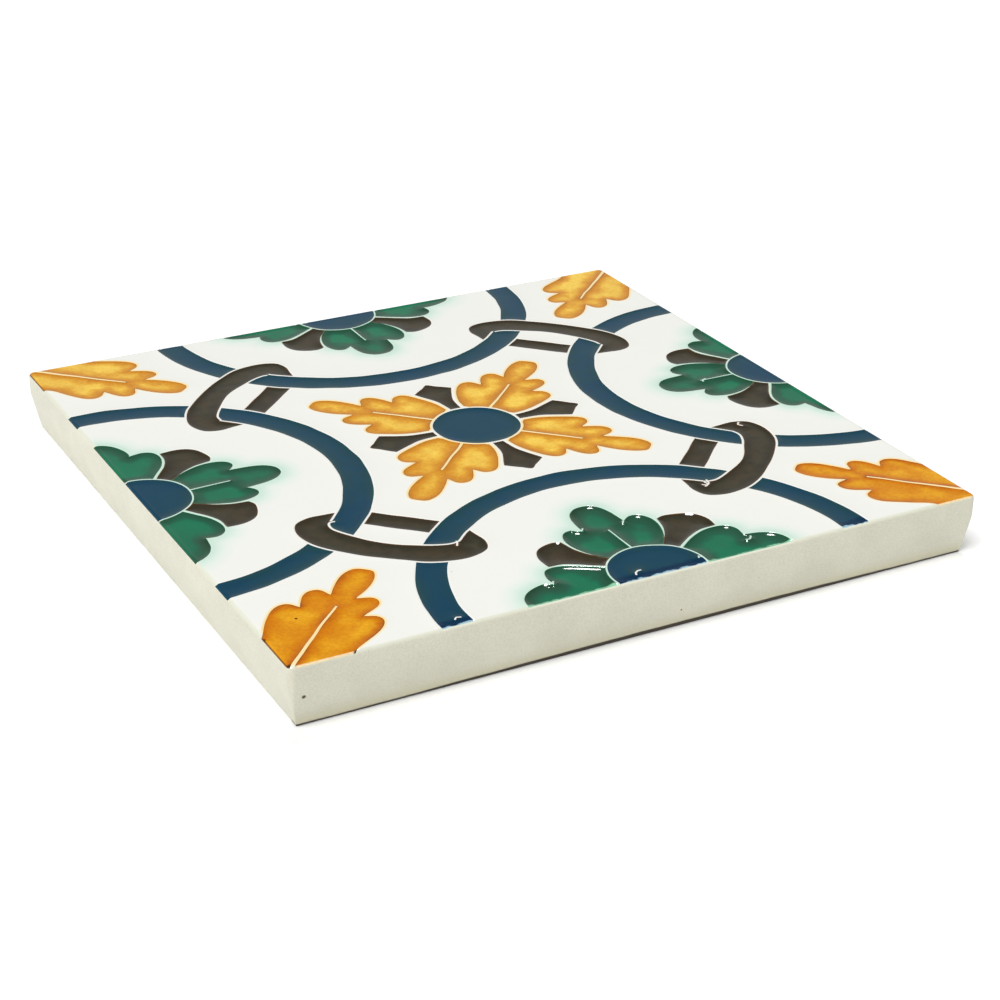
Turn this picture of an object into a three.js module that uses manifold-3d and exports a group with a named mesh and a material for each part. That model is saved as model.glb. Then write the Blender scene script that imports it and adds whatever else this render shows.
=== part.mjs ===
// Square hand-made relief tile of fired earthenware, glazed on its face and sides.
// Millimetres, +Z up: the tile lies face up, with the middle of its flat back at the origin.
// The pattern is pressed into the face: each coloured field is a shallow basin, and the
// clay left standing between two basins is the thin ridge that keeps their glazes apart.
import * as THREE from 'three';
import { mergeVertices } from 'three/addons/utils/BufferGeometryUtils.js';
import Module from 'manifold-3d';

const wasm = await Module();
wasm.setup();

// Body
const SIDE = 140; // over the upright edge band, both ways
const THICK = 12.4; // back to glazed face
const EDGE_BAND = 3.7; // height of the upright band below the rounded rim
const BACK_INSET = 1.7; // how far the sides draw in from the band down to the back, on each side
const RIM_ROUND = 0.8; // rounding of the rim around the glazed face
const FOOT_ROUND = 0.5; // easing of the edge around the back
const CORNER_ROUND = 1.3; // rounding of the four upright corners, in plan

// Relief
const BASIN_DEPTH = 0.5;
const RIDGE = 0.85; // width of the ridge between two basins
const VEIN = 0.7; // width of the ridge down the middle of a leaf, at its foot
const PATTERN_SHIFT = [1.5, 2.3]; // how far off the middle the pattern was pressed, in X and Y

// Figures, each set out from the pattern's centre, mid-edges, quarter points or corners
const DISC_RADIUS = 8.95; // middle disc, and the half discs at the mid-edges
const LEAF_TIP = 25.3; // diagonal leaf: its tip's distance across and up from where it springs
const LEAF_VEIN_END = 17; // the same for the end of its vein
const FLOWER_TIP = 27.7; // half flower: tip of its middle leaf from the mid-edge
const FLOWER_VEIN_END = 17.2;
const BAND_RADIUS = 40.1; // middle line of the curved bands, about each mid-edge
const BAND_WIDTH = 5.5;
const LINK_BAR = 5.4; // width of the link's bowed bar and of its ends
const LINK_BACK_BAR = 4.7; // width of its straight bar, which runs under the bands
const LINK_BOW = 4.4; // from the quarter point out to the inside of the bowed bar
const LINK_BACK = 1.8; // from the quarter point in to the straight bar

// Sizes that the outlines further down are drawn at
const LEAF_DRAWN_TIP = 25.2;
const FLOWER_DRAWN_TIP = 27.7;

// Fineness of the round stretches
const CORNER_STEPS = 4; // per quarter turn
const DISC_STEPS = 20; // per half turn
const BAND_STEPS = 36; // per half turn
const LOBE_STEPS = 2; // per point of a drawn outline
const MARGIN = 4; // how far a cutter stands past the surface or edge that it cuts

const QUARTER = SIDE / 4;
const MID_EDGE = SIDE / 2;
const BASIN_FLOOR = THICK - BASIN_DEPTH;
// From a link's middle to the inner end of its opening, which clears the far side of the band
const LINK_REACH = QUARTER * Math.SQRT2 - BAND_RADIUS + BAND_WIDTH / 2 + RIDGE;

const at = (x, y) => new THREE.Vector2(x, y);

// Solids

function toSolid(geometry) {
  geometry.deleteAttribute('normal');
  geometry.deleteAttribute('uv');
  const merged = mergeVertices(geometry, 1e-4);
  const mesh = new wasm.Mesh({
    numProp: 3,
    vertProperties: new Float32Array(merged.attributes.position.array),
    triVerts: new Uint32Array(merged.index.array),
  });
  return new wasm.Manifold(mesh);
}

function toGeometry(solid) {
  const mesh = solid.getMesh();
  const geometry = new THREE.BufferGeometry();
  geometry.setAttribute('position', new THREE.BufferAttribute(mesh.vertProperties, 3));
  geometry.setIndex(new THREE.BufferAttribute(mesh.triVerts, 1));
  geometry.computeVertexNormals();
  return geometry;
}

// A cutter with the given outline, from the basin floor up through the face.
function basin(shape, segments = DISC_STEPS) {
  const geometry = new THREE.ExtrudeGeometry(shape, {
    depth: BASIN_DEPTH + MARGIN,
    bevelEnabled: false,
    curveSegments: segments,
  });
  geometry.translate(0, 0, BASIN_FLOOR);
  return toSolid(geometry);
}

function joined(solids) {
  return solids.reduce((sum, solid) => sum.add(solid));
}

// The same solid at four places, a quarter turn apart about the pattern's centre.
function fourTimes(solid) {
  return joined([0, 90, 180, 270].map((turn) => solid.rotate([0, 0, turn])));
}

// Outlines

const acrossDiagonal = (point) => at(point.y, point.x);
const acrossAxis = (point) => at(-point.x, point.y);

function scaled(points, factor) {
  return points.map(([x, y]) => at(x * factor, y * factor));
}

// Points along a smooth curve, without the last one.
function smooth(points) {
  return new THREE.SplineCurve(points).getPoints(LOBE_STEPS * (points.length - 1)).slice(0, -1);
}

// A closed outline through a ring of lobes: round along each lobe, sharp where two meet.
function lobedShape(lobes) {
  return new THREE.Shape(lobes.flatMap(smooth));
}

// Lobes up one side, from the foot to a tip on the mirror line, and back down the other side.
function mirrored(lobes, mirror) {
  const back = lobes.map((lobe) => lobe.map(mirror).reverse()).reverse();
  const tip = [...lobes.at(-1), ...back[0].slice(1)];
  const foot = [back.at(-1).at(-1), lobes[0][0]];
  return [...lobes.slice(0, -1), tip, ...back.slice(1), foot];
}

function circle(radius, inner = 0) {
  const shape = new THREE.Shape();
  shape.absarc(0, 0, radius, 0, Math.PI * 2);
  if (inner > 0) {
    const hole = new THREE.Path();
    hole.absarc(0, 0, inner, 0, Math.PI * 2, true);
    shape.holes.push(hole);
  }
  return shape;
}

// A straight strip along +Y that narrows to half its width at its end.
function taper(width, end) {
  const half = width / 2;
  return new THREE.Shape([at(-half, -MARGIN), at(half, -MARGIN), at(half / 2, end), at(-half / 2, end)]);
}

// An anticlockwise outline moved outwards by a distance, or inwards by a negative one.
function grown(points, distance) {
  return points.map((point, i) => {
    const next = points[(i + 1) % points.length];
    const along = next.clone().sub(points.at(i - 1)).normalize();
    return at(point.x + along.y * distance, point.y - along.x * distance);
  });
}

// Body

// The outline of the tile in plan at one height: a square with round corners, drawn in by inset.
function ringAt(z, inset) {
  const middle = SIDE / 2 - inset - CORNER_ROUND;
  const points = [];
  for (let corner = 0; corner < 4; corner++) {
    for (let step = 0; step <= CORNER_STEPS; step++) {
      const turn = (step / CORNER_STEPS) * (Math.PI / 2);
      const point = at(middle + CORNER_ROUND * Math.cos(turn), middle + CORNER_ROUND * Math.sin(turn));
      point.rotateAround(at(0, 0), (corner * Math.PI) / 2);
      points.push([point.x, point.y, z]);
    }
  }
  return points;
}

// Heights and insets up the side: eased foot, drawn-in side, upright band, rounded rim.
function sideProfile() {
  const bandFoot = THICK - RIM_ROUND - EDGE_BAND;
  const slope = BACK_INSET / bandFoot;
  const profile = [
    [0, BACK_INSET + FOOT_ROUND],
    [FOOT_ROUND, BACK_INSET - slope * FOOT_ROUND],
    [bandFoot, 0],
  ];
  for (let step = 0; step <= CORNER_STEPS; step++) {
    const turn = (step / CORNER_STEPS) * (Math.PI / 2);
    profile.push([THICK - RIM_ROUND * (1 - Math.sin(turn)), RIM_ROUND * (1 - Math.cos(turn))]);
  }
  return profile;
}

function bodySolid() {
  const rings = sideProfile().map(([z, inset]) => ringAt(z, inset));
  const count = rings[0].length;
  const index = [];
  for (let r = 0; r + 1 < rings.length; r++) {
    for (let i = 0; i < count; i++) {
      const a = r * count + i;
      const b = r * count + ((i + 1) % count);
      index.push(a, b, b + count, a, b + count, a + count);
    }
  }
  const top = (rings.length - 1) * count;
  for (let i = 1; i + 1 < count; i++) {
    index.push(0, i + 1, i);
    index.push(top, top + i, top + i + 1);
  }
  const geometry = new THREE.BufferGeometry();
  geometry.setAttribute('position', new THREE.Float32BufferAttribute(rings.flat(2), 3));
  geometry.setIndex(index);
  return toSolid(geometry);
}

// Leaves on the diagonals: four about the middle disc, and one springing from each corner

// Half a leaf, from its foot by the Y axis to its tip on the diagonal
const LEAF_FOOT = [
  [1.9, 9.6], [2.2, 12.4], [3.1, 15.2], [4.3, 17.7], [5.5, 19.8],
  [6.7, 20.9], [7.9, 21.1], [9.1, 20.6], [10.5, 19.2],
];
const LEAF_SIDE_LOBE = [
  [10.5, 19.2], [11.2, 20.5], [12.1, 22.1], [13.2, 23.1], [14.5, 23.2], [15.6, 22.5], [16.6, 20.5],
];
const LEAF_END_LOBE = [[16.6, 20.5], [18.2, 21.8], [20.1, 23.6], [22, 25.1], [23.8, 25.8], [25.2, 25.2]];

// The foot of a corner leaf is broader, and runs off both edges of the tile.
const CORNER_STEM = [[-4, -4], [-4, 8.6]];
const CORNER_FOOT = [
  [-4, 8.6], [-1.6, 10.4], [0, 11.8], [1.1, 13], [2.2, 15], [3.6, 17.3],
  [5.1, 19.4], [6.6, 20.7], [8, 21], [9.3, 20.5], [10.5, 19.2],
];

function diagonalLeaf(foot) {
  const lobes = [...foot, LEAF_SIDE_LOBE, LEAF_END_LOBE];
  const drawn = lobes.map((lobe) => scaled(lobe, LEAF_TIP / LEAF_DRAWN_TIP));
  const vein = basin(taper(VEIN, LEAF_VEIN_END * Math.SQRT2)).rotate([0, 0, -45]);
  return basin(lobedShape(mirrored(drawn, acrossDiagonal))).subtract(vein);
}

// Half a pointed sepal, which stands between two leaves and is drawn at the same scale
const SEPAL_SIDE = [[0.9, 8], [1.2, 11.9], [1.6, 14.1], [2.6, 16.4], [3.7, 18.6], [4.3, 19.6]];
const SEPAL_POINT = [[4.3, 19.6], [3, 20.8], [1.5, 22]];
const SEPAL_TIP = [[1.5, 22], [0, 23.3]];

function sepal() {
  const lobes = [SEPAL_SIDE, SEPAL_POINT, SEPAL_TIP];
  const drawn = lobes.map((lobe) => scaled(lobe, LEAF_TIP / LEAF_DRAWN_TIP));
  return basin(lobedShape(mirrored(drawn, acrossAxis)));
}

function middleBasins() {
  const around = fourTimes(diagonalLeaf([LEAF_FOOT])).add(fourTimes(sepal()));
  return around.subtract(basin(circle(DISC_RADIUS + RIDGE))).add(basin(circle(DISC_RADIUS)));
}

function cornerBasins() {
  const leaf = diagonalLeaf([CORNER_STEM, CORNER_FOOT]);
  return fourTimes(leaf.translate([-MID_EDGE, -MID_EDGE, 0]));
}

// Half flowers at the mid-edges, drawn with the tile's edge along X and the flower along +Y

const FLOWER_LEAF_SIDE = [
  [4.7, 6.9], [5.9, 8.3], [7.4, 10.4], [8.5, 12.8], [9.05, 15.2],
  [9, 17.3], [8, 19.2], [6.3, 19.7], [4.3, 18.6],
];
const FLOWER_LEAF_END = [[4.3, 18.6], [4.2, 21.4], [3.95, 23.5], [3.1, 25.8], [1.6, 27.3], [0, 27.7]];

// Fan petal: up beside the leaf, over the top, and back down beside the side leaf
const PETAL = [
  [[4.9, 6.6], [6.6, 8.7], [8.2, 10.8], [9.4, 13.2], [9.9, 15.4], [10.1, 16.8]],
  [[10.1, 16.8], [11.6, 17.4], [13.6, 16.9], [15.3, 16], [16.5, 14.4], [17, 12.4], [16.8, 9.9]],
  [[16.8, 9.9], [14.2, 9.8], [11.8, 8.6], [9.4, 6.9], [6.8, 5.1]],
  [[6.8, 5.1], [4.9, 6.6]],
];

// Side leaf: along the petal, over its two lobes, and off the edge of the tile
const SIDE_LEAF = [
  [[7.4, 4.2], [9.9, 6], [12.6, 7.7], [14.9, 8.8], [16.6, 8.9], [17.9, 8.2], [18.5, 6.7], [18.5, 4.6]],
  [[18.5, 4.6], [20.5, 4.3], [22.7, 4], [24.9, 3.2], [26.2, 1.8], [26.8, 0.4], [27.3, -4]],
  [[27.3, -4], [7.4, -4]],
  [[7.4, -4], [7.4, 4.2]],
];

function halfFlower() {
  const factor = FLOWER_TIP / FLOWER_DRAWN_TIP;
  const drawn = (lobes) => lobes.map((lobe) => scaled(lobe, factor));
  const vein = basin(taper(VEIN, FLOWER_VEIN_END));
  const leafLobes = mirrored(drawn([FLOWER_LEAF_SIDE, FLOWER_LEAF_END]), acrossAxis);
  const leaf = basin(lobedShape(leafLobes)).subtract(vein);
  const oneSide = [PETAL, SIDE_LEAF].map((lobes) => basin(lobedShape(drawn(lobes))));
  const bothSides = oneSide.flatMap((solid) => [solid, solid.mirror([1, 0, 0])]);
  const around = joined([leaf, ...bothSides]).subtract(basin(circle(DISC_RADIUS + RIDGE)));
  return around.add(basin(circle(DISC_RADIUS)));
}

function edgeBasins() {
  return fourTimes(halfFlower().translate([0, -MID_EDGE, 0]));
}

// Curved bands about the mid-edges, chained at the quarter points by links. A band passes under
// the bowed bar of the link and over its straight one.

// Half of each outline of a link, as shares of its half length and of its reach out and back
const LINK_OUTSIDE = [
  [0.44, -1], [0.66, -0.8], [0.82, -0.47], [0.93, -0.22], [1, 0.09],
  [0.99, 0.29], [0.91, 0.53], [0.78, 0.72], [0.61, 0.87], [0.4, 0.95], [0, 1],
];
const LINK_INSIDE = [
  [0.9, -1], [0.98, -0.6], [1, 0], [0.9, 0.39], [0.72, 0.63], [0.47, 0.81], [0.23, 0.95], [0, 1],
];

function linkOutline(share, half, out, back) {
  const side = share.map(([a, b]) => at(a * half, b * (b > 0 ? out : back)));
  return smooth([...side, ...side.slice(0, -1).map(acrossAxis).reverse()]);
}

// A link with its walls moved out by extra on both sides, about its middle with its bow towards +Y
function link(extra) {
  const outside = linkOutline(
    LINK_OUTSIDE, LINK_REACH + LINK_BAR, LINK_BOW + LINK_BAR, LINK_BACK + LINK_BACK_BAR,
  );
  const inside = linkOutline(LINK_INSIDE, LINK_REACH, LINK_BOW, LINK_BACK);
  const shape = new THREE.Shape(grown(outside, extra));
  shape.holes.push(new THREE.Path(grown(inside, -extra)));
  return basin(shape);
}

function bands(extra) {
  const half = BAND_WIDTH / 2 + extra;
  const ring = basin(circle(BAND_RADIUS + half, BAND_RADIUS - half), BAND_STEPS);
  return fourTimes(ring.translate([0, -MID_EDGE, 0]));
}

// The half of a link's surroundings that lies beyond its middle line, on the side of the given sign
function beside(sign) {
  const length = LINK_REACH + LINK_BAR + MARGIN;
  const corners = [at(-length, 0), at(length, 0), at(length, sign * length), at(-length, sign * length)];
  return basin(new THREE.Shape(corners));
}

function atQuarterPoints(solid) {
  return fourTimes(solid.rotate([0, 0, -45]).translate([QUARTER, QUARTER, 0]));
}

function chainBasins() {
  const overBands = atQuarterPoints(link(RIDGE).intersect(beside(1)));
  const bandsOver = bands(RIDGE).intersect(atQuarterPoints(beside(-1)));
  return bands(0).subtract(overBands).add(atQuarterPoints(link(0)).subtract(bandsOver));
}

// The tile

const pattern = joined([middleBasins(), cornerBasins(), edgeBasins(), chainBasins()]);
const relief = pattern.translate([...PATTERN_SHIFT, 0]);
const glaze = new THREE.MeshStandardMaterial({ color: 0xeeeee6, roughness: 0.15, metalness: 0 });
const tile = new THREE.Mesh(toGeometry(bodySolid().subtract(relief)), glaze);
tile.name = 'tile';

const part = new THREE.Group();
part.add(tile);

export default part;
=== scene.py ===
"""Square hand-made relief tile: white ground, ridged outlines and pools of coloured glaze.

The tile lies face up on a pale floor. Its face is triangulated along the outlines of the
pattern, and a geometry node tree then raises the ridges and sinks the pools by each point's
distance from the nearest outline. Lengths are in millimetres up to the finished mesh.
"""
import math

import bpy
import numpy as np
from mathutils import Euler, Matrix, Vector, kdtree, noise
from mathutils.bvhtree import BVHTree
from mathutils.geometry import delaunay_2d_cdt


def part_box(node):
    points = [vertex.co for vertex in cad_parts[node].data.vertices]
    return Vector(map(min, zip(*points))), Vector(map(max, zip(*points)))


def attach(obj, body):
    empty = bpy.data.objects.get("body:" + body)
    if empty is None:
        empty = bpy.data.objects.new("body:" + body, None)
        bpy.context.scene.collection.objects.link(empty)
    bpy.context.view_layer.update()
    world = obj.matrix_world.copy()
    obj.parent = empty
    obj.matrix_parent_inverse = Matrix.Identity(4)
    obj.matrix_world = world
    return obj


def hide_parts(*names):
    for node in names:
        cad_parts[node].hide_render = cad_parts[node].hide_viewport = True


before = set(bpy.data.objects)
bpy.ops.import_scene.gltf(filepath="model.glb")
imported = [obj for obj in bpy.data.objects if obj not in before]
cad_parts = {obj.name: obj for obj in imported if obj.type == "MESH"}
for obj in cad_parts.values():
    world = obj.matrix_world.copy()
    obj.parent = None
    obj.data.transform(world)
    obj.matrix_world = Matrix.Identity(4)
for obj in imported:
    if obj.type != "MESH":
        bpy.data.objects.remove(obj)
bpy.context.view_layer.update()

MM = 0.001

# Body, read from the frame
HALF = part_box("tile")[1][0] / MM
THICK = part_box("tile")[1][2] / MM
CORNER_ROUND = 1.3
RIM_ROUND = 0.8
BAND_FOOT = 7.9  # height at which the upright band ends and the side starts to draw in
BACK_INSET = 1.7

# The pattern, in its own frame: figures about its centre, mid-edges, quarter points, corners
DISC_RADIUS = 8.95
MIDDLE_RADIUS = 8.78  # of the disc in the middle
MIDDLE_RIDGE = 0.56
RIDGE = 0.42
DISC_RIDGE = 0.34  # round each disc
VEIN = 0.5
LEAF_VEIN = 0.84
FLOWER_SPREAD = 0.18  # how far the flower's glazes spread past the drawn lines
LEAF_SPREAD = -0.12
LINK_SPREAD = 0.06
LEAF_TIP = 25.3
LEAF_DRAWN_TIP = 25.2  # the tip's place in the tables of outlines
LEAF_VEIN_END = 15.6
FLOWER_VEIN_END = 17.2
BAND_RADIUS = 40.1
BAND_WIDTH = 5.7
LINK_BAR = 5.4
LINK_BACK_BAR = 4.7
LINK_BOW = 4.4
LINK_BACK = 1.8
MARGIN = 6  # how far a figure that leaves the tile runs past its edge
HALF_PATTERN = 70
QUARTER = HALF_PATTERN / 2
PATTERN_SHIFT = Vector((1.5, 2.3))  # how far off the tile's middle the pattern was pressed
LINK_REACH = QUARTER * math.sqrt(2) - BAND_RADIUS + BAND_WIDTH / 2 + RIDGE

# The hand of the maker: wander of the drawn lines, in mm and over mm, from a fixed seed
WANDER = 0.2
WANDER_LENGTH = 5.0
WANDER_SEED = 1

# How far a point of the pattern lies off its drawn place, in mm: for X and for Y, the shares of
# 1, u, v, u * u, u * v and v * v, where u and v run from -1 to 1 across the pattern
DRIFT = (
    (1.53, 0.48, -0.12, -0.72, -0.65, 0.27),
    (1.95, 0.41, -0.57, -1.58, -0.97, -0.28),
)

# Mesh fineness
STEP = 0.6  # along an outline
POOL_RINGS = (0.12, 0.27, 0.45, 0.66)  # rows of points, by their distance from an outline
BANK_RINGS = (0.1, 0.22, 0.4, 0.62)
OUTER_RINGS = (0.95, 1.45)
RING_GAP = 0.055  # least distance between two points of the rows
OUTER_GAP = 0.605
SHARPEST = 0.1  # a point gets no rows where the sum of its two edges' normals is shorter
OWN_SHARE = 0.88  # a row's point is dropped where an outline is nearer than this share
FILL_STEP = 1.7
FILL_INSET = 2
FILL_GAP = 1.9  # from a point between the figures to an outline
RIM_RINGS = (0.26, 0.45, 0.7, 1.05, 1.5)
RIM_STEP = 0.9
RIM_GAP = 0.3
FACE_EDGE = 0.12  # inset at which the face meets the side
EDGE_GAP = 0.05
SIDE_STEP = 0.25  # least length of a step round the side
CORNER_STEPS = 4  # round an upright corner
NEAREST_STEP = 0.1
CUT_TOLERANCE = 1e-4
FACE_TOLERANCE = 1e-3

# Rows of points down the side
RIM_TURNS = (21, 10, 0)  # degrees round the rim, below the face
BAND_MIDDLE = 2.2  # above the band's foot
BAND_EASE = 0.35
SIDE_HEIGHTS = (6.5, 4.5, 2.5, 1.2, 0.7, 0.3)
FOOT_ROWS = ((0.12, 0.02), (0.03, 0.11), (0, 0.25), (0, 2.0))  # height, and inset past the side

WHITE, COBALT, BROWN, GREEN, AMBER, SIDE_GLAZE, CLAY = range(7)

# The glaze of each figure, and its pool's depth as a share of the deepest
GROUND = (WHITE, 0.0)
FIGURES = {
    "disc": (COBALT, 0.2),
    "band": (COBALT, 0.2),
    "link": (BROWN, 0.3),
    "leaf": (AMBER, 0.14),
    "sepal": (BROWN, 0.2),
    "flower_leaf": (GREEN, 0.9),
    "petal": (BROWN, 0.75),
    "side_leaf": (GREEN, 0.9),
}
# How deep the pools of the four flowers are against that, from the near one anticlockwise
FLOWER_DEPTHS = (1, 0.7, 0.6, 0.42)

# Height of the glazed surface below the ridge crests against the distance from an outline
SECTION_REACH = 2.5
SECTION_DROP = 0.65
POOL_SECTION = [
    (0, 0.06), (0.15, 0.14), (0.3, 0.22), (0.5, 0.315), (0.7, 0.395), (0.9, 0.455), (1.2, 0.52),
    (1.6, 0.565), (2.5, 0.59),
]
BANK_SECTION = [
    (0, 0.06), (0.1, 0.02), (0.22, 0), (0.35, 0), (0.5, 0.01), (0.8, 0.035), (1.3, 0.055),
    (2.0, 0.07), (2.5, 0.075),
]
LINE_DROP = 0.06
FIELD_DROP = 0.08  # of the face along its edge, where the relief fades out
INLAND = (0.15, 1.1)  # insets from which the relief starts and is full
RELIEF_SIZES = {
    "Relief": SECTION_DROP,
    "Field drop": FIELD_DROP,
    "Rim round": RIM_ROUND,
    "Waviness": 0.04,
    "Wave length": 14.0,
}


# Outlines


def scaled(points, factor):
    return [(x * factor, y * factor) for x, y in points]


def smooth(points):
    """Points STEP apart on a smooth curve through the given ones, without the last."""
    given = [Vector(p) for p in points]
    made = []
    for i in range(len(given) - 1):
        before, start = given[max(i - 1, 0)], given[i]
        end, after = given[i + 1], given[min(i + 2, len(given) - 1)]
        leave, arrive = (end - before) / 2, (after - start) / 2
        count = max(1, round((end - start).length / STEP))
        for k in range(count):
            t = k / count
            made.append(
                (2 * start - 2 * end + leave + arrive) * t**3
                + (3 * end - 3 * start - 2 * leave - arrive) * t**2
                + leave * t
                + start
            )
    return made


def lobed(lobes):
    return [p for lobe in lobes for p in smooth(lobe)]


def across_diagonal(point):
    return (point[1], point[0])


def across_axis(point):
    return (-point[0], point[1])


def mirrored(lobes, mirror):
    """Lobes up one side to a tip on the mirror line, and back down the other side."""
    back = [[mirror(p) for p in reversed(lobe)] for lobe in reversed(lobes)]
    tip = list(lobes[-1]) + back[0][1:]
    foot = [back[-1][-1], lobes[0][0]]
    return [*lobes[:-1], tip, *back[1:], foot]


def circle(radius):
    count = round(math.tau * radius / STEP)
    turns = [math.tau * k / count for k in range(count)]
    return [Vector((radius * math.cos(t), radius * math.sin(t))) for t in turns]


def straight(corners):
    ring = list(corners) + [corners[0]]
    return [p for pair in zip(ring, ring[1:]) for p in smooth(pair)]


def taper(width, end):
    """A strip along +Y that narrows to half its width at its end."""
    half = width / 2
    return straight([(-half, -MARGIN), (half, -MARGIN), (half / 2, end), (-half / 2, end)])


def turned(points, degrees, shift=(0, 0)):
    c, s = math.cos(math.radians(degrees)), math.sin(math.radians(degrees))
    return [Vector((x * c - y * s + shift[0], x * s + y * c + shift[1])) for x, y in points]


def anticlockwise(points):
    area = sum(a.cross(b) for a, b in zip(points, points[1:] + points[:1]))
    return points if area > 0 else points[::-1]


def grown(points, distance):
    """An anticlockwise outline moved outwards by a distance, or inwards by a negative one."""
    moved = []
    for i, point in enumerate(points):
        along = (points[(i + 1) % len(points)] - points[i - 1]).normalized()
        moved.append(Vector((point.x + along.y * distance, point.y - along.x * distance)))
    return moved


LEAF_FOOT = [
    (1.9, 9.6), (2.2, 12.4), (3.1, 15.2), (4.3, 17.7), (5.5, 19.7),
    (6.7, 20.7), (7.9, 20.8), (9.1, 20.2), (10.2, 18.4),
]
LEAF_SIDE_LOBE = [
    (10.2, 18.4), (11, 20.2), (12, 21.8), (13.2, 22.7), (14.5, 22.8), (15.6, 22),
    (16.3, 19.8),
]
LEAF_END_LOBE = [
    (16.3, 19.8), (17.6, 21.8), (19.5, 24), (21.6, 25.6), (23.7, 26.2), (25.2, 25.2),
]
CORNER_STEM = [(-6, -4.5), (-6, 8.2)]
CORNER_FOOT = [
    (-6, 8.2), (-4, 8.6), (-1.6, 10.4), (0, 11.8), (1.1, 13), (2.2, 15), (3.6, 17.3),
    (5.1, 19.4), (6.6, 20.5), (8, 20.7), (9.2, 20.1), (10.2, 18.4),
]
SEPAL_SIDE = [(1.1, 8), (1.45, 11.9), (1.85, 14.1), (2.85, 16.4), (3.9, 18.6), (4.3, 19.6)]
SEPAL_POINT = [(4.3, 19.6), (3, 20.8), (1.5, 22)]
SEPAL_TIP = [(1.5, 22), (0, 23.3)]
FLOWER_LEAF_SIDE = [
    (4.7, 6.9), (5.9, 8.3), (7.4, 10.4), (8.5, 12.8), (9.05, 15.2),
    (8.9, 17.6), (7.9, 19.5), (6.2, 20), (4.2, 18.6),
]
FLOWER_LEAF_END = [(4.2, 18.6), (4.05, 21.4), (3.8, 23.5), (3, 25.8), (1.6, 27.3), (0, 27.7)]
PETAL_ROOT = 10  # how far out a petal starts to be drawn wider
PETAL_LENGTH = 7  # from there to its outer side
PETAL = [
    [(4.9, 6.6), (6.6, 8.7), (8.2, 10.8), (9.4, 13.2), (9.9, 15.4), (10.1, 16.8)],
    [(10.1, 16.8), (11.6, 17.4), (13.8, 17), (15.8, 16), (17, 14.4), (17.5, 12.4), (17.3, 9.8)],
    [(17.3, 9.8), (14.4, 9.6), (11.8, 8.4), (9.4, 6.75), (6.8, 5)],
    [(6.8, 5), (4.9, 6.6)],
]
SIDE_LEAF_ROOT = 12  # how far out a side leaf starts to be drawn longer
SIDE_LEAF_TOP = [
    (7.4, 4.2), (9.9, 6), (12.6, 7.8), (15, 8.8), (17.2, 9), (18.8, 8.3), (19.6, 6.7), (19.3, 4.6),
]
SIDE_LEAF_END = [
    (19.3, 4.6), (21, 4.6), (23, 4.2), (25, 3.2), (26.3, 1.8), (26.9, 0.4), (27.3, -2.5),
    (27.5, -6),
]
SIDE_LEAF_FOOT = [[(27.5, -6), (7.4, -6)], [(7.4, -6), (7.4, 4.2)]]

# How each corner leaf lies off the drawing
CORNER_SHIFTS = [(-0.7, -0.3), (-1.6, 0.1), (0, 0), (-0.2, -0.3)]

# How each of the four flowers differs from the drawing: its shift, the length of its leaf's end
# as a share and, for its right and its left, how much wider the petal is, how much further out
# the side leaf's notch and tip lie, how much lower its end lobe is and how much deeper the notch
FLOWER_HANDS = [
    ((-0.6, 0), 0.99, [(0.5, 0.9, -0.6, 0.9, 0.7), (-0.9, -0.9, -0.8, 0.1, 1.1)]),
    ((-0.5, 0.4), 0.87, [(-0.5, 0.2, 0, -0.2, 0), (0.8, 0.5, 1, 0.4, 0)]),
    ((0.5, 0.4), 0.82, [(-0.5, 0.5, 1, 0.2, 0), (0.1, 0.6, 0.9, 0.1, 0)]),
    ((0.35, 0.1), 0.94, [(0.3, 0.6, 0.6, 0.2, 0), (0.4, 0.2, 0.4, 0.6, 0.7)]),
]

# Short runs of raised line that curl on into a pool, as the side of the tile that they are seen
# from, counted anticlockwise from the near one, and the way along and in from it
CURL_WIDTH = 0.34
CURLS = [
    (0, [(-25.3, 28.1), (-25.6, 27.2), (-26.1, 26.3)]),
    (0, [(26.6, 27.7), (27.4, 27.1), (28.2, 27.8), (28.5, 29.2)]),
    (0, [(-2.7, 22), (-3.3, 21.3), (-4.2, 21.5), (-4.7, 22.3)]),
    (0, [(5.5, 21.4), (4.9, 20.5)]),
    (0, [(-17.4, 6.6), (-17.9, 5.9), (-18.7, 5.9), (-19.1, 6.5)]),
    (0, [(21.1, 4.6), (22, 4.5), (22.8, 5.5)]),
    (0, [(-3.4, 1.9), (-3.1, 2.7), (-2.4, 3.2), (-1.7, 3.2)]),
    (0, [(9.8, 2.4), (10.1, 3.1), (10.5, 2.5)]),
    (0, [(-38.8, 2.1), (-38.2, 2.8), (-37.4, 2.5)]),
    (1, [(-43.3, 43.3), (-42.7, 42.3), (-41.5, 42.4)]),
    (1, [(-22.8, 21.2), (-21.9, 21.8), (-21, 21)]),
    (1, [(0.1, 15.9), (0.9, 15.6), (1.3, 14.6)]),
]

# The right side of a link, in shares of its half length and, across, of its bow or its back
LINK_OUTSIDE = [
    (0.44, -1), (0.66, -0.8), (0.82, -0.47), (0.93, -0.22), (1, 0.09),
    (0.99, 0.29), (0.91, 0.53), (0.78, 0.72), (0.61, 0.87), (0.4, 0.95), (0, 1),
]
LINK_INSIDE = [
    (0.9, -1), (0.98, -0.6), (1, 0), (0.9, 0.39), (0.72, 0.63), (0.47, 0.81), (0.23, 0.95), (0, 1),
]


def spread(points, distance=FLOWER_SPREAD):
    """A drawn outline moved out to where its glaze ends."""
    return grown(anticlockwise(points), distance)


def flower_leaf(length):
    foot = FLOWER_LEAF_END[0][1]
    end = [(x, foot + (y - foot) * length) for x, y in FLOWER_LEAF_END]
    return spread(lobed(mirrored([FLOWER_LEAF_SIDE, end], across_axis)))


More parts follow.
